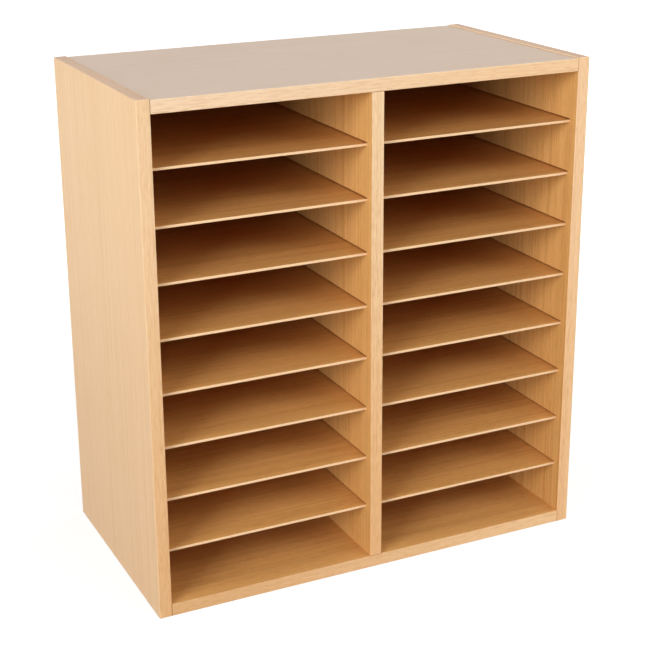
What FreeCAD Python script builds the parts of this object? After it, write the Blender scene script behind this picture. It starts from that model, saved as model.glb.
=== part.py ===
import FreeCAD, Part
import os
import Sketcher

# Pigeonhole mail sorter: a laminated-board carcass with two columns of equal compartments.
#
# The sides run the full height, with the top and bottom boards between them and a divider in
# the middle. Thin shelves lie in grooves that stop short of the front, so they go in from the
# rear, and the back panel, screwed into a rebate, keeps them in. Every front edge, and the top
# edge of each side, carries a glued edging strip. The top board is level with the sides under
# their strips, which stand proud of it. Dowels and cam fittings hold the corners.
#
# Frame: millimetres, +Z up, the open front faces -Y, and the origin is the middle of the
# footprint, on the surface that the sorter stands on.
#
# Every board has its own origin: y = 0 is the front of the board, behind its edging, and the
# board's inner face lies in one of its origin planes.

SIZES = {
    # carcass
    "overall_width": 560,
    "overall_depth": 300,
    "overall_height": 603,
    "board_thickness": 15,          # sides, top and bottom
    "divider_thickness": 15,
    "compartment_rows": 9,          # a count: compartments in each column
    "edging_thickness": 1,
    "edging_radius": 0.5,           # eased corners of an edging strip
    # shelves
    "shelf_thickness": 3,
    "shelf_setback": 12.5,          # from the carcass front to the shelf's front edge
    "shelf_edge_radius": 0.4,
    "shelf_end_gap": 0.3,           # between the shelf's end and the groove's floor
    "shelf_rear_gap": 0.3,          # between the shelf and the back panel
    "groove_depth": 4.5,
    "groove_play": 1,               # height of the groove over the shelf that lies in it
    # back panel
    "back_thickness": 3,
    "back_recess": 2,               # from the rear of the carcass in to the panel, for the screw heads
    "back_gap": 0.5,                # round the panel, inside the rebate
    "rebate_width": 9,              # how far the back panel overlaps each board
    # dowels
    "dowel_diameter": 8,
    "dowel_hole_play": 0.1,
    "dowel_end_gap": 0.5,           # between the dowel's end and the hole's floor
    "dowel_skin": 5,                # board left behind a dowel hole in a face
    "dowel_reach": 20,              # length of dowel in the end of a board
    "dowel_chamfer": 1,
    # cam fittings
    "cam_diameter": 15,
    "cam_bore_play": 0.1,
    "cam_skin": 2.5,                # board left over the cam
    "cam_height_gap": 0.3,
    "cam_distance": 24,             # from the board's end to the cam's axis
    "cam_cavity_diameter": 9.6,
    "cam_slot_play": 0.6,           # width of the slot over the bolt's neck
    "cam_cavity_play": 0.4,         # under the bolt's head
    "cam_inset": 50,                # from the front and rear of the board to the cams
    "dowel_offset": 32,             # from each cam to its dowel, along the joint
    "bolt_thread_diameter": 4.9,
    "bolt_hole_diameter": 5,
    "bolt_skin": 4,                 # board left behind the hole for the bolt's thread
    "bolt_end_gap": 0.5,
    "bolt_shank_diameter": 7,
    "bolt_shank_length": 15,
    "bolt_bore_diameter": 8,        # in the end of the board, up to the cam
    "bolt_neck_diameter": 4,
    "bolt_head_diameter": 6.8,
    "bolt_head_length": 3,
    "bolt_head_offset": 3.2,        # from the cam's axis to the back of the bolt's head
    # back panel screws
    "screw_length": 16,             # under the head
    "screw_diameter": 2.8,
    "screw_tip_length": 3,
    "screw_head_diameter": 6,
    "screw_head_height": 1.8,
    "screw_head_radius": 1.1,
    "screw_hole_diameter": 3.4,     # through the back panel
    "pilot_diameter": 2.9,
    "pilot_end_gap": 1,
    # cross recesses of the cams and the screws
    "cam_cross_length": 8,
    "cam_cross_width": 1.6,
    "cam_cross_depth": 1.5,
    "screw_cross_length": 3.2,
    "screw_cross_width": 0.7,
    "screw_cross_depth": 1.1,
}

ROWS = SIZES["compartment_rows"]
SHELVES = ROWS - 1                  # in each column
BACK_SCREWS_ACROSS = 4              # along the top and along the bottom

BOARD = "Sizes.board_thickness"
DIVIDER = "Sizes.divider_thickness"
SHELF = "Sizes.shelf_thickness"
EDGING = "Sizes.edging_thickness"

INNER_WIDTH = f"(Sizes.overall_width - 2 * {BOARD})"
COLUMN_WIDTH = f"(({INNER_WIDTH} - {DIVIDER}) / 2)"

# Depths are measured back from the front of the boards.
FRONT_OF_BOARDS = f"({EDGING} - Sizes.overall_depth / 2)"
CORE_DEPTH = f"(Sizes.overall_depth - {EDGING})"
LEDGE_DEPTH = f"({CORE_DEPTH} - Sizes.back_recess - Sizes.back_thickness)"
SHELF_FRONT = f"(Sizes.shelf_setback - {EDGING})"
CAM_DEPTHS = ["Sizes.cam_inset", f"({CORE_DEPTH} - Sizes.cam_inset)"]
DOWEL_DEPTHS = [f"({CAM_DEPTHS[0]} + Sizes.dowel_offset)", f"({CAM_DEPTHS[1]} - Sizes.dowel_offset)"]

# Heights are measured up from the floor.
TOP_FACE = f"(Sizes.overall_height - {EDGING})"
CEILING = f"({TOP_FACE} - {BOARD})"
JOINT_HEIGHTS = [f"({BOARD} / 2)", f"({TOP_FACE} - {BOARD} / 2)"]
REBATE_LOW = f"({BOARD} - Sizes.rebate_width)"
REBATE_HIGH = f"({TOP_FACE} - {REBATE_LOW})"

# The steps are equal, so the top compartment is lower than the others by an edging's thickness.
INNER_HEIGHT = f"({CEILING} - {BOARD})"
PITCH = f"(({INNER_HEIGHT} + {EDGING} + {SHELF}) / Sizes.compartment_rows)"
COMPARTMENT_HEIGHT = f"({PITCH} - {SHELF})"

DOWEL_HOLE = "(Sizes.dowel_diameter + Sizes.dowel_hole_play)"
DOWEL_FACE_HOLE = f"({BOARD} - Sizes.dowel_skin)"
DOWEL_END_HOLE = "(Sizes.dowel_reach + Sizes.dowel_end_gap)"
CAM_BORE_DEPTH = f"({BOARD} - Sizes.cam_skin)"
CAM_HEIGHT = f"({CAM_BORE_DEPTH} - Sizes.cam_height_gap)"
BOLT_HOLE_DEPTH = f"({BOARD} - Sizes.bolt_skin)"
PILOT_DEPTH = "(Sizes.screw_length - Sizes.back_thickness + Sizes.pilot_end_gap)"

# Screws stand at the middle of every other compartment, and at even steps across.
SCREW_HEIGHTS = [f"({BOARD} + {row} * {PITCH} + {COMPARTMENT_HEIGHT} / 2)" for row in range(0, ROWS, 2)]
SCREW_STEPS = [step - (BACK_SCREWS_ACROSS - 1) / 2 for step in range(BACK_SCREWS_ACROSS)]
SCREW_ACROSS = [f"({step} * {INNER_WIDTH} / {BACK_SCREWS_ACROSS})" for step in SCREW_STEPS]
LEDGE_MIDDLE = "(Sizes.rebate_width / 2)"

LEFT, RIGHT = -1, 1
BOTTOM, TOP = -1, 1

doc = FreeCAD.newDocument("mail_sorter")
sheet = doc.addObject("Spreadsheet::Sheet", "Sizes")
for line, (alias, value) in enumerate(SIZES.items(), start=1):
    sheet.set(f"A{line}", alias.replace("_", " "))
    sheet.set(f"B{line}", str(value))
    sheet.setAlias(f"B{line}", alias)
doc.recompute()


# ---- sketches -------------------------------------------------------------------------------

def origin_feature(body, role):
    return next(item for item in body.Origin.OriginFeatures if item.Role == role)


def sketch_on(body, role, name, offset="0"):
    """An empty sketch on an origin plane of its own body, moved along the plane's normal."""
    sketch = body.newObject("Sketcher::SketchObject", f"{body.Name}_{name}")
    sketch.AttachmentSupport = (origin_feature(body, role), [""])
    sketch.MapMode = "FlatFace"
    sketch.setExpression("AttachmentOffset.Base.z", offset)
    return sketch


def bind_point(sketch, name, geometry, vertex, x, y):
    """Ties a point of the sketch to its distances from the sketch's origin."""
    for kind, distance in (("DistanceX", x), ("DistanceY", y)):
        value = float(sketch.evalExpression(distance))
        index = sketch.addConstraint(Sketcher.Constraint(kind, -1, 1, geometry, vertex, value))
        sketch.renameConstraint(index, f"{name}_{kind[-1].lower()}")
        sketch.setExpression(f"Constraints.{name}_{kind[-1].lower()}", distance)


def outline(sketch, corners):
    """A closed outline of straight lines; each corner is a pair of expressions."""
    first = sketch.GeometryCount
    points = [FreeCAD.Vector(*(float(sketch.evalExpression(text)) for text in pair), 0) for pair in corners]
    for start, end in zip(points, points[1:] + points[:1]):
        sketch.addGeometry(Part.LineSegment(start, end), False)
    for number, (x, y) in enumerate(corners):
        here = first + number
        after = first + (number + 1) % len(corners)
        sketch.addConstraint(Sketcher.Constraint("Coincident", here, 2, after, 1))
        bind_point(sketch, f"corner_{number}", here, 1, x, y)


def rectangle(sketch, x_low, y_low, x_high, y_high):
    outline(sketch, [(x_low, y_low), (x_high, y_low), (x_high, y_high), (x_low, y_high)])


def circles(sketch, centres, diameter):
    """One circle at each centre, all of one diameter."""
    radius = float(sketch.evalExpression(diameter)) / 2
    for x, y in centres:
        middle = FreeCAD.Vector(float(sketch.evalExpression(x)), float(sketch.evalExpression(y)), 0)
        number = sketch.addGeometry(Part.Circle(middle, FreeCAD.Vector(0, 0, 1), radius), False)
        bind_point(sketch, f"centre_{number}", number, 3, x, y)
        index = sketch.addConstraint(Sketcher.Constraint("Diameter", number, 2 * radius))
        sketch.renameConstraint(index, f"diameter_{number}")
        sketch.setExpression(f"Constraints.diameter_{number}", diameter)


def cross(sketch, length, width):
    """The outline of an upright cross about the sketch's origin."""
    arm, half = f"({length} / 2)", f"({width} / 2)"
    quarter = [(arm, f"(-{half})"), (arm, half), (half, half)]
    corners = []
    for turn in range(4):
        corners += quarter
        quarter = [(f"(-{y})", x) for x, y in quarter]
    outline(sketch, corners)


# ---- features -------------------------------------------------------------------------------

def new_body(label):
    body = doc.addObject("PartDesign::Body", label)
    body.Label = label
    return body


def place(item, x="0", y="0", z="0"):
    for axis, distance in zip("xyz", (x, y, z)):
        item.setExpression(f"Placement.Base.{axis}", distance)
    return item


def pad(body, sketch, name, length, reverse=False, symmetric=False):
    feature = body.newObject("PartDesign::Pad", f"{body.Name}_{name}")
    feature.Profile = sketch
    feature.setExpression("Length", length)
    feature.Reversed = reverse
    feature.SideType = "Symmetric" if symmetric else "One side"
    doc.recompute()
    return feature


def revolution(body, sketch, name, role):
    feature = body.newObject("PartDesign::Revolution", f"{body.Name}_{name}")
    feature.Profile = sketch
    feature.ReferenceAxis = (origin_feature(body, role), [""])
    feature.Angle = 360
    doc.recompute()
    return feature


def must_remove(body, before, name):
    """Stops the build where a cut has missed the solid."""
    if not body.Shape.Volume < before - 1e-3:
        raise RuntimeError(f"{body.Label}: {name} removes nothing")


def pocket(body, sketch, name, depth, reverse=False):
    """Cuts against the sketch's normal, or along it when reversed."""
    before = body.Shape.Volume
    feature = body.newObject("PartDesign::Pocket", f"{body.Name}_{name}")
    feature.Profile = sketch
    feature.setExpression("Length", depth)
    feature.Reversed = reverse
    doc.recompute()
    must_remove(body, before, name)
    return feature


def repeat(body, feature, name, role, step, count):
    """Repeats a cut at equal steps along an axis of the body."""
    before = body.Shape.Volume
    pattern = body.newObject("PartDesign::LinearPattern", f"{body.Name}_{name}")
    pattern.Originals = [feature]
    pattern.Direction = (origin_feature(body, role), [""])
    pattern.Mode = "Spacing"
    pattern.Occurrences = count
    pattern.setExpression("Offset", step)
    body.Tip = pattern
    doc.recompute()
    must_remove(body, before, name)


def mirror(body, feature, name, role):
    """Repeats a cut on the other side of an origin plane of the body."""
    before = body.Shape.Volume
    mirrored = body.newObject("PartDesign::Mirrored", f"{body.Name}_{name}")
    mirrored.Originals = [feature]
    mirrored.MirrorPlane = (origin_feature(body, role), [""])
    body.Tip = mirrored
    doc.recompute()
    must_remove(body, before, name)


def edges_of_face(shape, normal, along=None):
    """Names of the edges round the flat face that looks along normal, or only of those along a line."""
    looking = [face for face in shape.Faces if face.normalAt(0, 0).isEqual(normal, 1e-6)]
    rim = max(looking, key=lambda face: face.CenterOfMass.dot(normal)).Edges
    names = []
    for number, edge in enumerate(shape.Edges, start=1):
        if not any(edge.isSame(other) for other in rim):
            continue
        if along is None or abs(edge.tangentAt(edge.FirstParameter).dot(along)) > 0.99:
            names.append(f"Edge{number}")
    return names


def fillet(body, base, name, radius, edges):
    feature = body.newObject("PartDesign::Fillet", f"{body.Name}_{name}")
    feature.Base = (base, edges)
    feature.setExpression("Radius", radius)
    doc.recompute()
    return feature


X_LINE = FreeCAD.Vector(1, 0, 0)
Y_LINE = FreeCAD.Vector(0, 1, 0)
Z_LINE = FreeCAD.Vector(0, 0, 1)


# ---- boards ---------------------------------------------------------------------------------

def groove(body, name, bottom, offset, reverse):
    """Grooves of one column of shelves, cut into a face from behind the front edge to the rear."""
    profile = sketch_on(body, "YZ_Plane", f"{name}_profile", offset)
    rectangle(profile, SHELF_FRONT, bottom, LEDGE_DEPTH, f"({bottom} + {SHELF} + Sizes.groove_play)")
    lowest = pocket(body, profile, name, "Sizes.groove_depth", reverse)
    repeat(body, lowest, f"{name}_rows", "Z_Axis", PITCH, SHELVES)


def pilot_holes(body, centres):
    """Holes for the back panel's screws, drilled forwards from the plane of the rebate's ledge."""
    profile = sketch_on(body, "XZ_Plane", "pilot_profile", f"(-{LEDGE_DEPTH})")
    circles(profile, centres, "Sizes.pilot_diameter")
    pocket(body, profile, "pilot_holes", PILOT_DEPTH, reverse=True)


def side_panel(label, hand):
    """A full-height side. The local YZ plane is its inner face."""
    body = new_body(label)
    inwards = hand == RIGHT
    face = sketch_on(body, "YZ_Plane", "face")
    rectangle(face, "0", "0", CORE_DEPTH, TOP_FACE)
    pad(body, face, "board", BOARD, reverse=not inwards)
    groove(body, "shelf_groove", f"({BOARD} + {COMPARTMENT_HEIGHT})", "0", inwards)

    rebate = sketch_on(body, "YZ_Plane", "rebate_profile")
    rectangle(rebate, LEDGE_DEPTH, REBATE_LOW, CORE_DEPTH, REBATE_HIGH)
    pocket(body, rebate, "rebate", "Sizes.rebate_width", inwards)

    dowels = sketch_on(body, "YZ_Plane", "dowel_profile")
    circles(dowels, [(depth, height) for depth in DOWEL_DEPTHS for height in JOINT_HEIGHTS], DOWEL_HOLE)
    pocket(body, dowels, "dowel_holes", DOWEL_FACE_HOLE, inwards)

    bolts = sketch_on(body, "YZ_Plane", "bolt_profile")
    circles(bolts, [(depth, height) for depth in CAM_DEPTHS for height in JOINT_HEIGHTS],
            "Sizes.bolt_hole_diameter")
    pocket(body, bolts, "bolt_holes", BOLT_HOLE_DEPTH, inwards)

    pilot_holes(body, [(f"({hand} * {LEDGE_MIDDLE})", height) for height in SCREW_HEIGHTS])
    return place(body, f"({hand} * {INNER_WIDTH} / 2)", FRONT_OF_BOARDS)


def cross_panel(label, hand):
    """The top or bottom board, between the sides. The local XY plane is its inner face."""
    body = new_body(label)
    outer, lip = f"({hand} * {BOARD})", f"({hand} * Sizes.rebate_width)"
    section = sketch_on(body, "YZ_Plane", "section")
    outline(section, [("0", "0"), (LEDGE_DEPTH, "0"), (LEDGE_DEPTH, lip),
                      (CORE_DEPTH, lip), (CORE_DEPTH, outer), ("0", outer)])
    pad(body, section, "board", INNER_WIDTH, symmetric=True)

    for name, depths, diameter, reach in (
            ("dowel", DOWEL_DEPTHS, DOWEL_HOLE, DOWEL_END_HOLE),
            ("bolt", CAM_DEPTHS, "Sizes.bolt_bore_diameter", "Sizes.cam_distance")):
        profile = sketch_on(body, "YZ_Plane", f"{name}_profile", f"({INNER_WIDTH} / 2)")
        circles(profile, [(depth, f"({outer} / 2)") for depth in depths], diameter)
        right_end = pocket(body, profile, f"{name}_bores", reach)
        mirror(body, right_end, f"{name}_bores_left", "YZ_Plane")

    # The cams open downwards in both boards: into the top compartments, and under the sorter.
    underside = "0" if hand == TOP else f"(-{BOARD})"
    cams = sketch_on(body, "XY_Plane", "cam_profile", underside)
    across = f"({INNER_WIDTH} / 2 - Sizes.cam_distance)"
    circles(cams, [(x, depth) for x in (f"(-{across})", across) for depth in CAM_DEPTHS],
            "Sizes.cam_diameter")
    pocket(body, cams, "cam_bores", CAM_BORE_DEPTH, reverse=True)

    middle = sketch_on(body, "XY_Plane", "divider_dowel_profile")
    circles(middle, [("0", depth) for depth in DOWEL_DEPTHS], DOWEL_HOLE)
    pocket(body, middle, "divider_dowel_holes", DOWEL_FACE_HOLE, reverse=hand == TOP)

    pilot_holes(body, [(across, f"({hand} * {LEDGE_MIDDLE})") for across in SCREW_ACROSS])
    return place(body, "0", FRONT_OF_BOARDS, CEILING if hand == TOP else BOARD)


def centre_divider():
    """The upright between the columns. The local YZ plane is its middle."""
    body = new_body("centre_divider")
    face = sketch_on(body, "YZ_Plane", "face")
    rectangle(face, "0", "0", LEDGE_DEPTH, INNER_HEIGHT)
    pad(body, face, "board", DIVIDER, symmetric=True)
    for side, hand in (("left", LEFT), ("right", RIGHT)):
        groove(body, f"{side}_groove", COMPARTMENT_HEIGHT, f"({hand} * {DIVIDER} / 2)", hand == LEFT)
    for end, height in (("lower", "0"), ("upper", INNER_HEIGHT)):
        profile = sketch_on(body, "XY_Plane", f"{end}_dowel_profile", height)
        circles(profile, [("0", depth) for depth in DOWEL_DEPTHS], DOWEL_HOLE)
        pocket(body, profile, f"{end}_dowel_holes", DOWEL_END_HOLE, reverse=end == "lower")
    pilot_holes(body, [("0", f"({height} - {BOARD})") for height in SCREW_HEIGHTS])
    return place(body, "0", FRONT_OF_BOARDS, BOARD)


def back_panel():
    """A thin sheet that fills the rebate. The local XZ plane is its front face."""
    body = new_body("back_panel")
    half = f"({INNER_WIDTH} / 2 + Sizes.rebate_width - Sizes.back_gap)"
    sheet_face = sketch_on(body, "XZ_Plane", "face")
    rectangle(sheet_face, f"(-{half})", f"({REBATE_LOW} + Sizes.back_gap)",
              half, f"({REBATE_HIGH} - Sizes.back_gap)")
    pad(body, sheet_face, "sheet", "Sizes.back_thickness", reverse=True)
    holes = sketch_on(body, "XZ_Plane", "screw_profile")
    circles(holes, BACK_SCREW_PLACES, "Sizes.screw_hole_diameter")
    pocket(body, holes, "screw_holes", "Sizes.back_thickness")
    return place(body, "0", f"({FRONT_OF_BOARDS} + {LEDGE_DEPTH})")


def shelf(label, hand, row):
    """One loose shelf; row counts up from the bottom compartment. Its underside is the local XY plane."""
    body = new_body(label)
    half = f"({COLUMN_WIDTH} / 2 + Sizes.groove_depth - Sizes.shelf_end_gap)"
    face = sketch_on(body, "XY_Plane", "face")
    rectangle(face, f"(-{half})", "0", half, f"({LEDGE_DEPTH} - {SHELF_FRONT} - Sizes.shelf_rear_gap)")
    board = pad(body, face, "board", SHELF)
    front = edges_of_face(board.Shape, -Y_LINE, along=X_LINE)
    fillet(body, board, "eased_front", "Sizes.shelf_edge_radius", front)
    return place(body, f"({hand} * ({COLUMN_WIDTH} + {DIVIDER}) / 2)",
                 f"({FRONT_OF_BOARDS} + {SHELF_FRONT})",
                 f"({BOARD} + {row} * {PITCH} - {SHELF})")


# ---- edging strips --------------------------------------------------------------------------

def front_edging(label, width, height, x, z, eased=None):
    """A strip on the front edge of a board, with its rear face in the local XZ plane."""
    body = new_body(label)
    face = sketch_on(body, "XZ_Plane", "face")
    rectangle(face, f"(-{width} / 2)", "0", f"({width} / 2)", height)
    strip = pad(body, face, "strip", EDGING)
    corners = edges_of_face(strip.Shape, -Y_LINE, along=eased)
    fillet(body, strip, "eased_corners", "Sizes.edging_radius", corners)
    return place(body, x, FRONT_OF_BOARDS, z)


def top_edging(label, hand):
    """The strip on the top edge of a side, behind the front strip."""
    body = new_body(label)
    face = sketch_on(body, "XY_Plane", "face")
    rectangle(face, f"(-{BOARD} / 2)", "0", f"({BOARD} / 2)", CORE_DEPTH)
    strip = pad(body, face, "strip", EDGING)
    corners = edges_of_face(strip.Shape, Z_LINE, along=Y_LINE)
    fillet(body, strip, "eased_corners", "Sizes.edging_radius", corners)
    return place(body, f"({hand} * (Sizes.overall_width - {BOARD}) / 2)", FRONT_OF_BOARDS, TOP_FACE)


# ---- fittings -------------------------------------------------------------------------------

def dowel():
    """Lies along X over a joint at x = 0, with its longer part on the +X side."""
    body = new_body("dowel")
    profile = sketch_on(body, "XY_Plane", "profile")
    short = f"(-({DOWEL_FACE_HOLE} - Sizes.dowel_end_gap))"
    long, radius, chamfer = "Sizes.dowel_reach", "(Sizes.dowel_diameter / 2)", "Sizes.dowel_chamfer"
    outline(profile, [(short, "0"), (long, "0"), (long, f"({radius} - {chamfer})"),
                      (f"({long} - {chamfer})", radius), (f"({short} + {chamfer})", radius),
                      (short, f"({radius} - {chamfer})")])
    revolution(body, profile, "turned", "X_Axis")
    return body


def cam_bolt():
    """Lies along X over a joint at x = 0: thread on the -X side, head in the cam on the +X side."""
    body = new_body("cam_bolt")
    profile = sketch_on(body, "XY_Plane", "profile")
    steps = [(f"(Sizes.bolt_end_gap - {BOLT_HOLE_DEPTH})", "Sizes.bolt_thread_diameter"),
             ("0", "Sizes.bolt_shank_diameter"),
             ("Sizes.bolt_shank_length", "Sizes.bolt_neck_diameter"),
             ("(Sizes.cam_distance - Sizes.bolt_head_offset)", "Sizes.bolt_head_diameter")]
    ends = [start for start, _ in steps[1:]] + [f"({steps[-1][0]} + Sizes.bolt_head_length)"]
    corners = [(steps[0][0], "0")]
    for (start, diameter), end in zip(steps, ends):
        corners += [(start, f"({diameter} / 2)"), (end, f"({diameter} / 2)")]
    outline(profile, corners + [(ends[-1], "0")])
    revolution(body, profile, "turned", "X_Axis")
    return body


def cam_lock():
    """Stands on its slotted face at z = 0, with its mouth towards the bolt on the -X side."""
    body = new_body("cam_lock")
    disc = sketch_on(body, "XY_Plane", "disc")
    circles(disc, [("0", "0")], "(Sizes.cam_diameter - Sizes.cam_bore_play)")
    pad(body, disc, "cup", CAM_HEIGHT)

    cavity = sketch_on(body, "XY_Plane", "cavity_profile", CAM_HEIGHT)
    circles(cavity, [("0", "0")], "Sizes.cam_cavity_diameter")
    floor = f"({BOARD} / 2 - Sizes.bolt_head_diameter / 2 - Sizes.cam_cavity_play)"
    pocket(body, cavity, "cavity", f"({CAM_HEIGHT} - {floor})")

    mouth = sketch_on(body, "XY_Plane", "mouth_profile", CAM_HEIGHT)
    slot = "((Sizes.bolt_neck_diameter + Sizes.cam_slot_play) / 2)"
    rectangle(mouth, "(-Sizes.cam_diameter)", f"(-{slot})", "0", slot)
    pocket(body, mouth, "mouth", f"({CAM_HEIGHT} - {BOARD} / 2 + {slot})")

    recess = sketch_on(body, "XY_Plane", "cross_profile")
    cross(recess, "Sizes.cam_cross_length", "Sizes.cam_cross_width")
    pocket(body, recess, "cross", "Sizes.cam_cross_depth", reverse=True)
    return body


def back_screw():
    """Points along -Y, with the underside of its head at y = 0."""
    body = new_body("back_screw")
    profile = sketch_on(body, "XY_Plane", "profile")
    shank, head = "(Sizes.screw_diameter / 2)", "(Sizes.screw_head_diameter / 2)"
    outline(profile, [("0", "(-Sizes.screw_length)"),
                      (shank, "(Sizes.screw_tip_length - Sizes.screw_length)"), (shank, "0"),
                      (head, "0"), (head, "Sizes.screw_head_height"), ("0", "Sizes.screw_head_height")])
    turned = revolution(body, profile, "turned", "Y_Axis")
    rim = edges_of_face(turned.Shape, Y_LINE)
    fillet(body, turned, "domed_head", "Sizes.screw_head_radius", rim)
    recess = sketch_on(body, "XZ_Plane", "cross_profile", "(-Sizes.screw_head_height)")
    cross(recess, "Sizes.screw_cross_length", "Sizes.screw_cross_width")
    pocket(body, recess, "cross", "Sizes.screw_cross_depth", reverse=True)
    return body


def fastener_group(label, piece, places):
    """Copies of one piece; each place is a turn and the three distances of the copy's origin."""
    copies = []
    for number, (turn, x, y, z) in enumerate(places, start=1):
        copy = doc.addObject("App::Link", f"{label}_{number}")
        copy.LinkedObject = piece
        copy.Placement = FreeCAD.Placement(FreeCAD.Vector(), turn)
        copies.append(place(copy, x, y, z))
    group = doc.addObject("Part::Compound", label)
    group.Label = label
    group.Links = copies
    return group


def from_front(depth):
    """A depth behind the front of the boards, as a distance along Y in the sorter's frame."""
    return f"({FRONT_OF_BOARDS} + {depth})"


SCREW_COLUMNS = [f"(-({INNER_WIDTH} / 2 + {LEDGE_MIDDLE}))", "0", f"({INNER_WIDTH} / 2 + {LEDGE_MIDDLE})"]
SCREW_LINES = [f"({BOARD} - {LEDGE_MIDDLE})", f"({CEILING} + {LEDGE_MIDDLE})"]
BACK_SCREW_PLACES = [(x, z) for x in SCREW_COLUMNS for z in SCREW_HEIGHTS]
BACK_SCREW_PLACES += [(x, z) for z in SCREW_LINES for x in SCREW_ACROSS]

STRAIGHT = FreeCAD.Rotation()
TURNED_ROUND = FreeCAD.Rotation(Z_LINE, 180)
LONG_PART_DOWN = FreeCAD.Rotation(Y_LINE, 90)
LONG_PART_UP = FreeCAD.Rotation(Y_LINE, -90)


def corner_places(depths, inset="0", heights=JOINT_HEIGHTS):
    """The same place in each of the four corner joints, measured in from the joint's face."""
    places = []
    for hand, turn in ((LEFT, STRAIGHT), (RIGHT, TURNED_ROUND)):
        across = f"({hand} * ({INNER_WIDTH} / 2 - {inset}))"
        places += [(turn, across, from_front(depth), height) for depth in depths for height in heights]
    return places


# ---- the sorter -----------------------------------------------------------------------------

nodes = [side_panel("left_side_panel", LEFT), side_panel("right_side_panel", RIGHT)]
nodes += [cross_panel("top_panel", TOP), cross_panel("bottom_panel", BOTTOM)]
nodes += [centre_divider(), back_panel()]

for column, hand in (("left", LEFT), ("right", RIGHT)):
    for number in range(1, SHELVES + 1):
        nodes.append(shelf(f"shelf_{column}_{number}", hand, ROWS - number))

for side, hand in (("left", LEFT), ("right", RIGHT)):
    middle = f"({hand} * (Sizes.overall_width - {BOARD}) / 2)"
    nodes.append(front_edging(f"{side}_side_front_edging", BOARD, "Sizes.overall_height", middle, "0"))
    nodes.append(top_edging(f"{side}_side_top_edging", hand))
nodes.append(front_edging("top_panel_edging", INNER_WIDTH, BOARD, "0", CEILING, eased=X_LINE))
nodes.append(front_edging("bottom_panel_edging", INNER_WIDTH, BOARD, "0", "0", eased=X_LINE))
nodes.append(front_edging("divider_edging", DIVIDER, INNER_HEIGHT, "0", BOARD, eased=Z_LINE))

dowel_piece = dowel()
nodes.append(fastener_group("corner_dowels", dowel_piece, corner_places(DOWEL_DEPTHS)))
divider_joints = ((LONG_PART_UP, BOARD), (LONG_PART_DOWN, CEILING))
nodes.append(fastener_group("divider_dowels", dowel_piece, [
    (turn, "0", from_front(depth), height) for turn, height in divider_joints for depth in DOWEL_DEPTHS]))
nodes.append(fastener_group("cam_bolts", cam_bolt(), corner_places(CAM_DEPTHS)))
nodes.append(fastener_group("cam_locks", cam_lock(), corner_places(
    CAM_DEPTHS, "Sizes.cam_distance", ["0", CEILING])))
nodes.append(fastener_group("back_panel_screws", back_screw(), [
    (STRAIGHT, x, "(Sizes.overall_depth / 2 - Sizes.back_recess)", z) for x, z in BACK_SCREW_PLACES]))

doc.recompute()
for item in doc.Objects:
    if "Invalid" in item.State or "Error" in item.State:
        raise RuntimeError(f"{item.Label} has failed: {item.State}")
for node in nodes:
    if node.Shape.isNull() or not node.Shape.isValid():
        raise RuntimeError(f"{node.Label} has no valid shape")

os.makedirs("parts", exist_ok=True)
for node in nodes:
    node.Shape.exportStep(f"parts/{node.Label}.step")
    print(f"{node.Label}: {len(node.Shape.Solids)} solid(s), {node.Shape.Volume / 1000:.1f} cm3")
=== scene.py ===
"""Finishes, floor, lamps and camera of the pigeonhole mail sorter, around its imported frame."""
import math

import bpy
from mathutils import Euler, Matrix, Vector


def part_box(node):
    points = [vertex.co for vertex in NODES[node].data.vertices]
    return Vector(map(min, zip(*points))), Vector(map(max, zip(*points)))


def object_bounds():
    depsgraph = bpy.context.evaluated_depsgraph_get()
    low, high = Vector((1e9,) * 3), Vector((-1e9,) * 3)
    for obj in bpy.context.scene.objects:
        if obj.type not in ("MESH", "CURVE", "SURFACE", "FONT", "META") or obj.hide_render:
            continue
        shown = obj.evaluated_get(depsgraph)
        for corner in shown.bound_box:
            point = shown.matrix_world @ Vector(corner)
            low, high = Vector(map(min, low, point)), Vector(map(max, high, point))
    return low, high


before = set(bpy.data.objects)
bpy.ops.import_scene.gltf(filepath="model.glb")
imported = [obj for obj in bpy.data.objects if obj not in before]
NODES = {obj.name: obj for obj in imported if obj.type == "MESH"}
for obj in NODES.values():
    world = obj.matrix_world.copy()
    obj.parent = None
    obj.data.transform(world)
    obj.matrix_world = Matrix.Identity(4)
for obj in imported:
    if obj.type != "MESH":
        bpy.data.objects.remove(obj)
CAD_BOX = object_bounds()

MM = 0.001
X, Y, Z = 0, 1, 2

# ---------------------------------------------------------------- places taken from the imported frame

LEFT_LOW, LEFT_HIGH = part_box("left_side_panel")
TOP_LOW, TOP_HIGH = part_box("top_panel")
BOTTOM_LOW, BOTTOM_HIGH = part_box("bottom_panel")
DIVIDER_LOW, DIVIDER_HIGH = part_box("centre_divider")
BACK_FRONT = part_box("back_panel")[0].y
SHELF_LOW, SHELF_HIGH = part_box("shelf_left_1")
SHELF_PITCH = SHELF_HIGH.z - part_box("shelf_left_2")[1].z
SHELF_FRONT = SHELF_LOW.y
SHELF_ROWS = 8
OUTER_X = -LEFT_LOW.x
INNER_X = -LEFT_HIGH.x
OUTER_TOP = CAD_BOX[1].z

# Where a strip or a board begins and ends along x, y and z.
WIDTH = (-OUTER_X, OUTER_X)
DEPTH = (LEFT_LOW.y, LEFT_HIGH.y)
HEIGHT = (0.0, OUTER_TOP)

# ---------------------------------------------------------------- small sizes of the finishes

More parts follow.
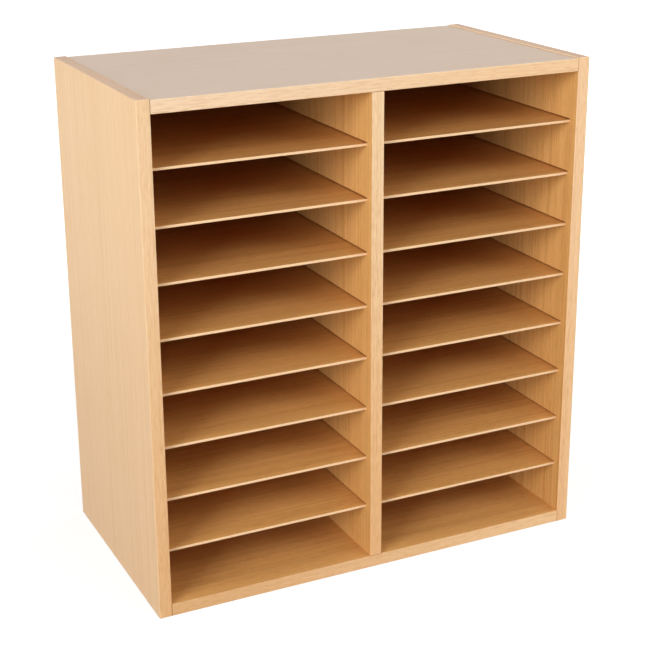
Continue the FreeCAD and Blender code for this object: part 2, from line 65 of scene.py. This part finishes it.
FACING = 0.25 * MM          # thickness of the printed facing on each board
FRONT_TAPE = 0.45 * MM      # depth of the pale tape on a shelf's front edge
GROOVE_GAP = 1.0 * MM       # play between a shelf and the upper side of its grooves
SHADE_LINE_RISE = 0.2 * MM           # height of the painted shade line above that play
RAGGED = 0.5 * MM           # how much that line's height wanders
REACH_PAST = 0.2 * MM       # how far a mask reaches past an edge, so that it covers it
REBATE_MARGIN = 1.0 * MM    # grooves end this far ahead of the back panel
GLUE_REACH = 0.4 * MM       # half the width of a glue line between two strips
OPEN_REACH = 1.6 * MM       # the same where the top board meets the sides
OPEN_DEPTH = 0.8 * MM       # how deep that joint is seen
HIGHLIGHT_REACH = 0.9 * MM        # half the width of a painted highlight along the inner arris of a strip over a joint
WEAR = (-1.1 * MM, -0.2 * MM)    # from the outer face inwards: where wear begins, and where it is full
FLOOR_GAP = 0.3 * MM        # the floor lies this far below the sorter


def colour(red, green, blue):
    """A colour as it is given, 0 to 255, as the light value that a shader takes."""
    def linear(level):
        level = level / 255
        return level / 12.92 if level <= 0.04045 else ((level + 0.055) / 1.055) ** 2.4
    return (linear(red), linear(green), linear(blue), 1.0)


def grey(level):
    """A neutral light value."""
    return (level, level, level, 1.0)


# ---------------------------------------------------------------- shader arithmetic

class Value:
    """A shader socket that Python arithmetic can use."""

    def __init__(self, tree, socket=None):
        self.tree = tree
        self.socket = socket

    def node(self, kind, settings=None, inputs=None, output=0):
        """Adds a node: its type, its settings, then the values or links of its inputs."""
        made = self.tree.nodes.new(kind)
        for name, setting in (settings or {}).items():
            if name == "stops":
                while len(made.color_ramp.elements) < len(setting):
                    made.color_ramp.elements.new(1.0)
                for element, (place, tone) in zip(made.color_ramp.elements, setting):
                    element.position = place
                    element.color = tone
            else:
                setattr(made, name, setting)
        for name, value in (inputs or {}).items():
            if isinstance(value, Value):
                self.tree.links.new(value.socket, made.inputs[name])
            else:
                made.inputs[name].default_value = value
        return Value(self.tree, made.outputs[output] if len(made.outputs) else None)

    def other(self, output):
        """Another output of the same node."""
        return Value(self.tree, self.socket.node.outputs[output])

    def math(self, operation, *terms):
        return self.node("ShaderNodeMath", {"operation": operation}, dict(enumerate(terms)))

    def __add__(self, term):
        return self.math("ADD", self, term)

    def __radd__(self, term):
        return self.math("ADD", term, self)

    def __sub__(self, term):
        return self.math("SUBTRACT", self, term)

    def __rsub__(self, term):
        return self.math("SUBTRACT", term, self)

    def __mul__(self, term):
        return self.math("MULTIPLY", self, term)

    def __rmul__(self, term):
        return self.math("MULTIPLY", term, self)

    def __abs__(self):
        return self.math("ABSOLUTE", self)

    def remainder(self, step):
        return self.math("MODULO", self, step)

    def larger(self, term):
        return self.math("MAXIMUM", self, term)

    def above(self, level):
        return self.math("GREATER_THAN", self, level)

    def below(self, level):
        return self.math("LESS_THAN", self, level)

    def rise(self, low, high, to_low=0.0, to_high=1.0):
        """Goes smoothly from to_low at low to to_high at high, and stays there."""
        return self.node("ShaderNodeMapRange", {"interpolation_type": "SMOOTHSTEP", "clamp": True},
                         {"Value": self, "From Min": low, "From Max": high,
                          "To Min": to_low, "To Max": to_high})

    def scaled(self, factors):
        """A vector times three numbers."""
        return self.node("ShaderNodeVectorMath", {"operation": "MULTIPLY"}, {0: self, 1: factors})

    def moved(self, steps):
        """A vector plus another."""
        return self.node("ShaderNodeVectorMath", {"operation": "ADD"}, {0: self, 1: steps})

    def length(self):
        return self.node("ShaderNodeVectorMath", {"operation": "LENGTH"}, {0: self}, "Value")

    def mixed(self, second, factor, blend="MIX"):
        """This colour mixed with a second one."""
        return self.node("ShaderNodeMix", {"data_type": "RGBA", "blend_type": blend},
                         {0: factor, 6: self, 7: second}, 2)

    def times(self, tint, factor=1.0):
        """This colour multiplied by a tint."""
        return self.mixed(tint, factor, "MULTIPLY")

    def ramp(self, *stops):
        """A colour for each level: stops are pairs of a level and its colour."""
        return self.node("ShaderNodeValToRGB", {"stops": stops}, {"Fac": self})

    def noise(self, factors, detail=2.0, roughness=0.6, output="Fac"):
        """Soft noise; factors are the blotches per metre along x, y and z."""
        return self.node("ShaderNodeTexNoise", {"noise_dimensions": "3D"},
                         {"Vector": self.scaled(factors), "Scale": 1.0, "Detail": detail,
                          "Roughness": roughness}, output)

    def cells(self, factors):
        """Cells of one level each; factors are the cells per metre along x, y and z."""
        cell = self.node("ShaderNodeTexVoronoi", {"feature": "F1"},
                         {"Vector": self.scaled(factors), "Scale": 1.0}, "Color")
        return cell.node("ShaderNodeSeparateColor", None, {0: cell}, "Red")

    def bump(self, strength, distance):
        """The normal of a surface with this height."""
        return self.node("ShaderNodeBump", None,
                         {"Strength": strength, "Distance": distance, "Height": self})


def new_material(name):
    """An empty material; returns it with its Object coordinates as a vector."""
    material = bpy.data.materials.new(name)
    material.use_nodes = True
    material.node_tree.nodes.clear()
    return material, Value(material.node_tree).node("ShaderNodeTexCoord", output="Object")


def axes(at):
    """The three numbers of a vector."""
    x = at.node("ShaderNodeSeparateXYZ", None, {0: at}, "X")
    return x, x.other("Y"), x.other("Z")


def link_output(surface, kind="ShaderNodeOutputMaterial"):
    """Links the finished surface to the output of its material or world."""
    surface.node(kind, None, {"Surface": surface})


def blended(first, second, factor):
    """Shows the first shader where factor is 0, and the second where it is 1."""
    return first.node("ShaderNodeMixShader", None, {0: factor, 1: first, 2: second})


def along(axis, lengthways, crossways):
    """Scale factors that stretch a pattern along one axis."""
    factors = [crossways] * 3
    factors[axis] = lengthways
    return tuple(factors)


# ---------------------------------------------------------------- tones and patterns

WOOD_PALE = colour(251, 217, 175)
WOOD_MID = colour(243, 201, 153)
WOOD_DARK = colour(218, 165, 110)
WOOD_DEEP = colour(190, 130, 74)
WOOD_LINE = colour(182, 118, 58)
WOOD_PORE = colour(160, 104, 56)
WORN_WOOD = colour(253, 230, 198)
GLUE_LINE = colour(128, 70, 26)
GLUE_PALE = colour(162, 100, 48)
OPEN_JOINT = colour(186, 112, 46)
# Painted shade: the dark line along the upper side of each shelf's groove gap.
GROOVE_SHADE_BROWN = colour(136, 60, 10)
GROOVE_WALL = colour(222, 140, 62)
# Painted highlight along the inner arris of each side's top strip.
STRIP_EDGE_HIGHLIGHT = colour(243, 214, 172)
WOOD_TONES = ((0.0, WOOD_DEEP), (0.2, WOOD_DARK), (0.5, WOOD_MID), (0.9, WOOD_PALE))
CHIP_TONES = ((0.0, colour(122, 84, 52)), (0.35, colour(176, 136, 94)),
              (0.7, colour(201, 165, 120)), (1.0, colour(222, 192, 150)))
TAPE_TONES = ((0.2, colour(252, 208, 160)), (0.8, colour(255, 227, 188)))
FELT_TONES = ((0.25, colour(132, 92, 59)), (0.5, colour(166, 122, 82)), (0.75, colour(196, 153, 109)))
GLUE_TONES = ((0.3, GLUE_LINE), (0.7, GLUE_PALE))
BEECH_TONES = ((0.25, colour(196, 156, 112)), (0.75, colour(224, 190, 148)))
BEECH_FLECK = colour(150, 104, 66)
STEEL = colour(222, 220, 214)
ZINC = colour(196, 198, 202)

# What the facings' colours are multiplied by, face by face. The top board's tint is greyer and bluer than
# the sides' as a painted sheen; the tints of the faces inside the compartments make them deeper and more
# saturated as painted shade.
ROSY = (1.0, 0.955, 0.975, 1.0)
SIDE_TINT = (0.81, 0.835, 0.79, 1.0)
TOP_SHEEN_TINT = (0.70, 0.79, 1.05, 1.0)
WALL_SHADE_TINT = (0.85, 0.745, 0.46, 1.0)
SHELF_SHADE_TINT = (0.82, 0.68, 0.405, 1.0)
SIDE_TOP_TINT = (0.67, 0.63, 0.65, 1.0)

# The same as pairs: at the foot and at the head, or at the left end and at the right end. They are painted
# light:
# the side boards, the divider and the upright strips paler and cooler towards the head, the upper shelves
# darker as painted shade, the top strip paler and cooler towards its left end, and the bottom strip darker
# and warmer towards its left end.
BOARD_PAINTED_LIGHT_TINTS = ((0.94, 0.92, 0.94, 1.0), (1.07, 1.085, 1.14, 1.0))
SHELF_PAINTED_SHADE_TINTS = ((1.06, 1.06, 1.04, 1.0), (0.93, 0.9, 0.88, 1.0))
LEFT_STRIP_PAINTED_LIGHT_TINTS = ((0.914, 0.835, 0.71, 1.0), (0.986, 1.069, 1.16, 1.0))
DIVIDER_STRIP_PAINTED_LIGHT_TINTS = ((0.971, 0.87, 0.72, 1.0), (1.043, 1.165, 1.3, 1.0))
RIGHT_STRIP_PAINTED_LIGHT_TINTS = ((1.05, 0.995, 0.9, 1.0), (1.06, 1.105, 1.17, 1.0))
TOP_STRIP_PAINTED_LIGHT_TINTS = ((1.017, 1.165, 1.44, 1.0), (1.033, 1.08, 1.13, 1.0))
BOTTOM_STRIP_PAINTED_LIGHT_TINTS = ((0.88, 0.81, 0.67, 1.0), (1.06, 1.07, 1.03, 1.0))

# How strongly a facing shows its grain, its dark streaks and its short flecks.
CALM = (0.22, 0.0, 0.1)
EVEN = (0.36, 0.05, 0.18)
STRIP = (0.4, 0.06, 0.5)
SHELF = (0.65, 0.12, 0.5)
WALL = (0.8, 0.16, 0.35)

# Marks per metre, along the grain and across it.
WANDER_MARKS = (2.5, 5.0)
DRIFT_MARKS = (0.9, 26.0)
FINE_MARKS = (1.7, 130.0)
LINE_MARKS = (2.3, 420.0)
STREAK_MARKS = (1.5, 300.0)
FLECK_MARKS = (75.0, 640.0)
PORE_MARKS = (110.0, 1700.0)

# Marks per metre, alike in all directions.
BLOTCH_MARKS = (14.0, 14.0, 14.0)
CLOUD_MARKS = (16.0, 16.0, 16.0)
RAGGED_MARKS = (160.0, 160.0, 160.0)
GLUE_MARKS = (200.0, 200.0, 200.0)
FELT_MARKS = (260.0, 260.0, 260.0)
METAL_PATCHES = (300.0, 300.0, 300.0)
CASTING_MARKS = (500.0, 500.0, 500.0)
PLATING_MARKS = (900.0, 900.0, 900.0)

# Marks per metre along x, y and z.
WEAR_MARKS = (35.0, 35.0, 12.0)
TAPE_MARKS = (420.0, 900.0, 900.0)
DUST_MARKS = (900.0, 900.0, 1800.0)
FIBRE_MARKS = (1500.0, 1500.0, 420.0)
BEECH_MARKS = (90.0, 900.0, 900.0)
BEECH_FLECK_MARKS = (260.0, 1600.0, 1600.0)
CHIP_LENGTH_MARKS = 230.0
CHIP_THICKNESS_MARKS = 700.0

GRAIN_SWAY = 0.006      # how far the grain wanders sideways
WOOD_ROUGHNESS = 0.36
RAW_ROUGHNESS = 0.8
BOARD_GLOSS = 0.15      # specular levels
TOP_BOARD_GLOSS = 0.28
SIDE_TOP_GLOSS = 0.3
FOIL_GLOSS = 0.5
STRIP_GLOSS = 0.5
RAW_GLOSS = 0.12
STRIP_COAT = 0.2


# ---------------------------------------------------------------- wood

def wood_grain(at, axis, shift):
    """Straight grain along one axis: tone round 0, thin lines, wide streaks, flecks, pores, slow drift."""
    at = at.moved(shift)
    wander = at.noise(along(axis, *WANDER_MARKS), 1.0, 0.5, "Color")
    at = at.moved(wander.scaled(along(axis, 0.0, GRAIN_SWAY)))
    drift = at.noise(along(axis, *DRIFT_MARKS))
    fine = at.noise(along(axis, *FINE_MARKS), 5.0, 0.78)
    lines = at.noise(along(axis, *LINE_MARKS)).rise(0.52, 0.70)
    streaks = at.noise(along(axis, *STREAK_MARKS), 1.0, 0.4).rise(0.56, 0.66)
    flecks = at.noise(along(axis, *FLECK_MARKS), 1.0, 0.5) - 0.5
    pores = at.noise(along(axis, *PORE_MARKS), 0.0, 0.5).rise(0.66, 0.78)
    tone = (drift - 0.5) * 0.35 + (fine - 0.5) * 1.2
    return tone, lines, streaks, flecks, pores, drift


def wood_surface(at, axis, shift, finish, inner=None, inner_finish=None):
    """Colour, roughness and height of a wood facing. A finish says how strongly the facing shows its
    grain, streaks and flecks, and what multiplies its colour. inner masks the faces inside the
    compartments, which have a finish of their own, whose tint paints shade on them: deeper and more
    saturated."""
    tone, lines, streaks, flecks, pores, drift = wood_grain(at, axis, shift)
    show, tint = finish
    if inner is not None:
        inner_show, inner_tint = inner_finish
        show = [outside + inner * (inside - outside) for outside, inside in zip(show, inner_show)]
    grain_part, streak_part, fleck_part = show
    tone = 0.5 + tone * grain_part + flecks * fleck_part
    body = tone.ramp(*WOOD_TONES)
    body = body.mixed(WOOD_LINE, lines * grain_part * 0.3)
    body = body.mixed(WOOD_LINE, streaks * streak_part)
    body = body.mixed(WOOD_PORE, pores * grain_part * 0.3)
    body = body.times(ROSY, drift.rise(0.35, 0.7) * 0.4)
    # The tints paint light: the top face greyer as a painted sheen, the faces inside the compartments
    # deeper and more saturated as painted shade.
    if inner is None:
        body = body.times(tint)
    else:
        body = body.times(tint, 1.0 - inner).times(inner_tint, inner)
    blotch = at.noise(BLOTCH_MARKS, 3.0)
    roughness = WOOD_ROUGHNESS + (blotch - 0.5) * 0.12
    roughness = roughness + lines * grain_part * 0.06 + pores * grain_part * 0.1
    height = (tone * 0.3 - lines * 0.4 - pores * 0.8) * grain_part
    return body, roughness, height


def graded(body, place, ends, tints):
    """A colour multiplied by one tint where place is at its first end, and by another at its second."""
    share = place.rise(*ends)
    return body.times(tints[0], 1.0 - share).times(tints[1], share)


def chipboard(at, thickness_axis):
    """Raw chipboard: flat chips pressed together, seen on a cut edge. Returns colour and height."""
    chips = at.cells(along(thickness_axis, CHIP_THICKNESS_MARKS, CHIP_LENGTH_MARKS))
    tone = chips * 0.7 + at.noise(DUST_MARKS) * 0.3
    return tone.ramp(*CHIP_TONES), tone


def facing_shader(body, roughness, height, specular, coat=0.0):
    """A smooth wood facing whose grain is just felt, with a coat of lacquer where it has one."""
    return body.node("ShaderNodeBsdfPrincipled", None,
                     {"Base Color": body, "Roughness": roughness, "Normal": height.bump(0.25, 0.12 * MM),
                      "IOR": 1.5, "Specular IOR Level": specular, "Coat Weight": coat,
                      "Coat Roughness": 0.28})


def raw_shader(body, height):
    """Dull cut wood, felt, dust and glue."""
    return body.node("ShaderNodeBsdfPrincipled", None,
                     {"Base Color": body, "Roughness": RAW_ROUGHNESS + height * 0.15,
                      "Normal": height.bump(0.4, 0.2 * MM), "Specular IOR Level": RAW_GLOSS})


def close_to(distance, reach=GLUE_REACH):
    """1 at a joint, and 0 from reach away."""
    return abs(distance).rise(0.4 * reach, reach, 1.0, 0.0)


def strip_joints(x, z):
    """Glue lines between the upright and the level front strips."""
    corner = z.above(TOP_LOW.z).larger(z.below(BOTTOM_HIGH.z))
    beside = close_to(abs(x) - INNER_X) * corner
    ends = close_to(z - TOP_LOW.z).larger(close_to(z - BOTTOM_HIGH.z))
    return beside.larger(ends * abs(x).below(DIVIDER_HIGH.x + REACH_PAST))


def top_joints(x, z):
    """Joint lines between the top board and the sides, under the strips that stand proud of it."""
    return close_to(abs(x) - INNER_X, OPEN_REACH) * z.above(TOP_HIGH.z - OPEN_DEPTH)


def groove_shade_line(at, y, z):
    """A dark line painted along the upper side of each shelf groove: painted shade that widens the shadow
    of the gap under it.
    """
    above_shelf = (z - BOTTOM_HIGH.z).remainder(SHELF_PITCH)
    shade_line = above_shelf.below(at.noise(RAGGED_MARKS) * RAGGED + (GROOVE_GAP + SHADE_LINE_RISE))
    return shade_line * y.above(SHELF_FRONT - REACH_PAST) * z.above(BOTTOM_HIGH.z + 0.5 * SHELF_PITCH)


def board_material(name, grain, thick, low, high, shift, inner_side, outside, inside, gloss=BOARD_GLOSS):
    """A board of faced chipboard. grain and thick are axes; low and high are the places of its two faces.
    inner_side is "low", "high" or "both": which of them look into the compartments. outside and inside
    are finishes. gloss is the facings' specular level."""
    material, at = new_material(name)
    x, y, z = axes(at)
    across = (x, y, z)[thick]
    near_low = across.below(low + FACING)
    near_high = across.above(high - FACING)
    faced = near_low.larger(near_high)
    inner = {"low": near_low, "high": near_high, "both": faced}[inner_side]
    body, roughness, height = wood_surface(at, grain, shift, outside, inner, inside)
    core, chips = chipboard(at, thick)
    rawness = 1.0 - faced
    if thick == X:
        # Painted light: the board paler and cooler towards its head, darker towards its foot.
        body = graded(body, z, HEIGHT, BOARD_PAINTED_LIGHT_TINTS)
        grooved = y.below(BACK_FRONT - REBATE_MARGIN) * z.above(BOTTOM_HIGH.z) * z.below(TOP_LOW.z)
        # Painted shade: a dark line on the inner faces along the upper side of each shelf's groove gap.
        shade_line = groove_shade_line(at, y, z) * inner
        core = core.mixed(GROOVE_WALL, grooved).mixed(GROOVE_SHADE_BROWN, shade_line)
        rawness = rawness.larger(shade_line)
    elif name == "top_board":
        joint = top_joints(x, z)
        core = core.mixed(OPEN_JOINT, joint)
        rawness = rawness.larger(joint)
    facing = facing_shader(body, roughness, height, gloss)
    link_output(blended(facing, raw_shader(core, chips), rawness))
    return material


def edging_material(name, grain, shift, tints, gloss=STRIP_GLOSS, coat=STRIP_COAT):
    """A thin wood strip glued on an edge, paler where hands rub its arrises. tints are for its ends; on
    the front strips they are painted light, which makes a strip paler and cooler at one end and darker and
    warmer at the other.
    """
    material, at = new_material(name)
    x, y, z = axes(at)
    body, roughness, height = wood_surface(at, grain, shift, (STRIP, grey(1.0)))
    # Painted light along the front strips: paler and cooler at one end, darker and warmer at the other.
    body = graded(body, (x, y, z)[grain], (WIDTH, DEPTH, HEIGHT)[grain], tints)
    outer_face = z - TOP_HIGH.z if grain == X else abs(x) - OUTER_X
    patch = at.noise(WEAR_MARKS, 3.0, 0.65).rise(0.35, 0.6, 0.3, 1.0)
    worn = outer_face.rise(*WEAR) * patch
    body = body.mixed(WORN_WOOD, worn * 0.35)
    roughness = roughness + worn * 0.1
    if grain == Y:
        # Painted highlight along the strip's inner arris, over its joint with the top board.
        body = body.mixed(STRIP_EDGE_HIGHLIGHT, close_to(abs(x) - INNER_X, HIGHLIGHT_REACH))
        surface = facing_shader(body, roughness, height, gloss, coat)
    else:
        facing = facing_shader(body, roughness, height, gloss, coat)
        glue = at.noise(GLUE_MARKS)
        surface = blended(facing, raw_shader(glue.ramp(*GLUE_TONES), glue), strip_joints(x, z) * 0.9)
    link_output(surface)
    return material


def shelf_material():
    """Hardboard with wood facings above and below and a pale front edge."""
    material, at = new_material("shelf_board")
    _, y, z = axes(at)
    body, roughness, height = wood_surface(at, X, (0.31, 0.07, 0.13), SHELF_SHADE_FINISH)
    # Painted shade: the upper shelves darker, the lower ones paler.
    body = graded(body, z, HEIGHT, SHELF_PAINTED_SHADE_TINTS)
    body = body.mixed(at.noise(TAPE_MARKS).ramp(*TAPE_TONES), y.below(SHELF_FRONT + FRONT_TAPE))
    link_output(facing_shader(body, roughness, height, BOARD_GLOSS))
    return material


def back_material():
    """Hardboard: wood foil towards the compartments, brown felted fibre outside."""
    material, at = new_material("back_board")
    _, y, _ = axes(at)
    body, roughness, height = wood_surface(at, Z, (0.9, 0.4, 0.2), SHELF_SHADE_FINISH)
    foil = facing_shader(body, roughness, height, FOIL_GLOSS)
    felt = at.noise(FELT_MARKS, 4.0, 0.7)
    cloud = at.noise(CLOUD_MARKS, 3.0)
    tone = felt * 0.35 + cloud * 0.35 + at.noise(FIBRE_MARKS) * 0.3
    outside = 1.0 - y.below(BACK_FRONT + FACING)
    link_output(blended(foil, raw_shader(tone.ramp(*FELT_TONES), tone), outside))
    return material


def beech_material():
    """Plain turned beech with its short dark flecks."""
    material, at = new_material("beech")
    tone = at.noise(BEECH_MARKS)
    fleck = at.noise(BEECH_FLECK_MARKS, 0.0, 0.5).rise(0.62, 0.72)
    body = tone.ramp(*BEECH_TONES).mixed(BEECH_FLECK, fleck * 0.5)
    link_output(raw_shader(body, tone))
    return material


def metal_material(name, tone, roughness, mark_factors):
    """Bright plated metal with fine marks and dull patches."""
    material, at = new_material(name)
    marks = at.noise(mark_factors)
    patch = at.noise(METAL_PATCHES, 3.0)
    dull = tuple(0.75 * part for part in tone[:3]) + (1.0,)
    body = (marks * 0.5 + patch * 0.5).ramp((0.25, dull), (0.75, tone))
    link_output(body.node("ShaderNodeBsdfPrincipled", None,
                          {"Base Color": body, "Metallic": 1.0,
                           "Roughness": roughness + (patch - 0.5) * 0.25,
                           "Normal": marks.bump(0.25, 0.05 * MM)}))
    return material


# ---------------------------------------------------------------- a finish for every piece

SIDE_FINISH = (EVEN, SIDE_TINT)
TOP_SHEEN_FINISH = (CALM, TOP_SHEEN_TINT)
WALL_SHADE_FINISH = (WALL, WALL_SHADE_TINT)
SHELF_SHADE_FINISH = (SHELF, SHELF_SHADE_TINT)


def dress(material, *names):
    """Gives CAD nodes their finish."""
    for name in names:
        slots = NODES[name].data.materials
        slots.clear()
        slots.append(material)


dress(board_material("left_board", Z, X, -OUTER_X, -INNER_X, (0.11, 0.23, 0.05), "high",
                     SIDE_FINISH, WALL_SHADE_FINISH), "left_side_panel")
dress(board_material("right_board", Z, X, INNER_X, OUTER_X, (0.47, 0.61, 0.35), "low",
                     SIDE_FINISH, WALL_SHADE_FINISH), "right_side_panel")
dress(board_material("top_board", X, Z, TOP_LOW.z, TOP_HIGH.z, (0.2, 0.83, 0.4), "low",
                     TOP_SHEEN_FINISH, WALL_SHADE_FINISH, TOP_BOARD_GLOSS), "top_panel")
dress(board_material("bottom_board", X, Z, BOTTOM_LOW.z, BOTTOM_HIGH.z, (0.7, 0.19, 0.6), "high",
                     SIDE_FINISH, SHELF_SHADE_FINISH), "bottom_panel")
dress(board_material("divider_board", Z, X, DIVIDER_LOW.x, DIVIDER_HIGH.x, (0.05, 0.37, 0.9), "both",
                     WALL_SHADE_FINISH, WALL_SHADE_FINISH), "centre_divider")
dress(shelf_material(),
      *(f"shelf_{side}_{row}" for side in ("left", "right") for row in range(1, SHELF_ROWS + 1)))
dress(back_material(), "back_panel")
dress(edging_material("left_edging", Z, (0.15, 0.0, 0.33), LEFT_STRIP_PAINTED_LIGHT_TINTS), "left_side_front_edging")
dress(edging_material("divider_edging", Z, (0.15, 0.0, 0.33), DIVIDER_STRIP_PAINTED_LIGHT_TINTS), "divider_edging")
dress(edging_material("right_edging", Z, (0.15, 0.0, 0.33), RIGHT_STRIP_PAINTED_LIGHT_TINTS), "right_side_front_edging")
dress(edging_material("top_edging", X, (0.55, 0.1, 0.71), TOP_STRIP_PAINTED_LIGHT_TINTS), "top_panel_edging")
dress(edging_material("bottom_edging", X, (0.35, 0.5, 0.17), BOTTOM_STRIP_PAINTED_LIGHT_TINTS), "bottom_panel_edging")
dress(edging_material("side_top_edging", Y, (0.25, 0.9, 0.13), (SIDE_TOP_TINT, SIDE_TOP_TINT),
                      SIDE_TOP_GLOSS, 0.0), "left_side_top_edging", "right_side_top_edging")
dress(beech_material(), "corner_dowels", "divider_dowels")
dress(metal_material("plated_steel", STEEL, 0.32, PLATING_MARKS), "cam_bolts", "back_panel_screws")
dress(metal_material("zinc_casting", ZINC, 0.42, CASTING_MARKS), "cam_locks")


# ---------------------------------------------------------------- floor and surroundings

FLOOR_SIZE = 16.0
FLOOR_BOUNCE = (0.42, 0.335, 0.23, 1.0)    # the warm tone of the light that it throws up at the sorter
FLOOR_PALENESS = 0.32                      # reflectance of the part that the lamps light and shade
FLOOR_GLOW = 0.78                          # its glow beside the sorter, which rises to 1 further out
GLOW_RISE = (0.5, 1.6)                     # the distances between which it rises
WORLD_LEVEL = 0.03


def seen_directly(start):
    """1 for rays that show a surface: camera, glossy and transmission rays."""
    path = start.node("ShaderNodeLightPath", output="Is Camera Ray")
    return path.larger(path.other("Is Glossy Ray")).larger(path.other("Is Transmission Ray"))


def floor_material():
    """Pale floor: white to the eye, with the object's shadow, and see-through from below."""
    material, at = new_material("pale_floor")
    far = at.length().rise(*GLOW_RISE)
    plain = at.node("ShaderNodeBsdfDiffuse", None, {"Color": FLOOR_BOUNCE})
    shaded = at.node("ShaderNodeBsdfDiffuse", None, {"Color": grey(FLOOR_PALENESS)})
    glow = at.node("ShaderNodeEmission", None,
                   {"Color": grey(1.0), "Strength": FLOOR_GLOW + far * (1.0 - FLOOR_GLOW)})
    white = at.node("ShaderNodeAddShader", None, {0: shaded, 1: glow})
    top_side = blended(plain, white, seen_directly(at))
    below = at.node("ShaderNodeNewGeometry", output="Backfacing")
    link_output(blended(top_side, at.node("ShaderNodeBsdfTransparent"), below))
    return material


def lay_floor():
    """A wide floor just under the sorter."""
    bpy.ops.object.select_all(action="DESELECT")
    bpy.ops.mesh.primitive_plane_add(size=FLOOR_SIZE, location=(0.0, 0.0, -FLOOR_GAP))
    floor = bpy.context.object
    floor.name = "floor"
    floor.data.materials.append(floor_material())


def light_world():
    """White surroundings to the eye, and a low even light."""
    world = bpy.data.worlds.new("studio")
    bpy.context.scene.world = world
    world.use_nodes = True
    world.node_tree.nodes.clear()
    start = Value(world.node_tree)
    strength = WORLD_LEVEL + seen_directly(start) * (1.0 - WORLD_LEVEL)
    back = start.node("ShaderNodeBackground", None, {"Color": grey(1.0), "Strength": strength})
    link_output(back, "ShaderNodeOutputWorld")


# ---------------------------------------------------------------- lamps and camera

LAMP_DISTANCE = 4.5
LAMP_SIZE = 2.08
LAMP_AIM = Vector((0.0, 0.0, 0.3))

# Each lamp's azimuth (0 is in front of the sorter, and 90 to its left), elevation and watts.
LAMPS = {
    "key": (58, 17, 153.0),
    "low_fill": (35, 3, 9.5),
    "front_fill": (-45, 17, 56.0),
    "right_fill": (-80, 32, 16.0),
    "high_fill": (-12, 46, 39.0),
    "overhead": (0, 88, 58.0),
    "back_left_fill": (140, 5, 80.0),
    "back_right_fill": (-120, 8, 110.0),
}

CAMERA_PLACE = (-0.7532, -1.5734, 0.8964)
CAMERA_TURN = (71.476, 0.533, -25.307)
CAMERA_LENS = 82.35
CAMERA_SENSOR = 36.0
CAMERA_SHIFT = (0.0194, -0.0504)


def softbox(name, azimuth, elevation, power):
    """A square soft lamp that looks at the sorter. Glossy faces mirror only the white surroundings, so
    no lamp burns out a pale board from any side."""
    turn = math.radians(azimuth)
    rise = math.radians(elevation)
    away = Vector((-math.sin(turn) * math.cos(rise), -math.cos(turn) * math.cos(rise), math.sin(rise)))
    lamp = bpy.data.lights.new(name, "AREA")
    lamp.shape = "SQUARE"
    lamp.size = LAMP_SIZE
    lamp.energy = power
    holder = bpy.data.objects.new(name, lamp)
    bpy.context.scene.collection.objects.link(holder)
    holder.location = LAMP_AIM + away * LAMP_DISTANCE
    holder.rotation_euler = away.to_track_quat("Z", "Y").to_euler()
    holder.visible_camera = False
    holder.visible_glossy = False


def place_camera():
    data = bpy.data.cameras.new("camera")
    data.sensor_width = CAMERA_SENSOR
    data.lens = CAMERA_LENS
    data.shift_x, data.shift_y = CAMERA_SHIFT
    camera = bpy.data.objects.new("camera", data)
    bpy.context.scene.collection.objects.link(camera)
    camera.location = CAMERA_PLACE
    camera.rotation_euler = Euler([math.radians(angle) for angle in CAMERA_TURN], "XYZ")
    bpy.context.scene.camera = camera


lay_floor()
light_world()
for lamp_name, setting in LAMPS.items():
    softbox(lamp_name, *setting)
place_camera()
bpy.context.scene.view_settings.view_transform = "Standard"
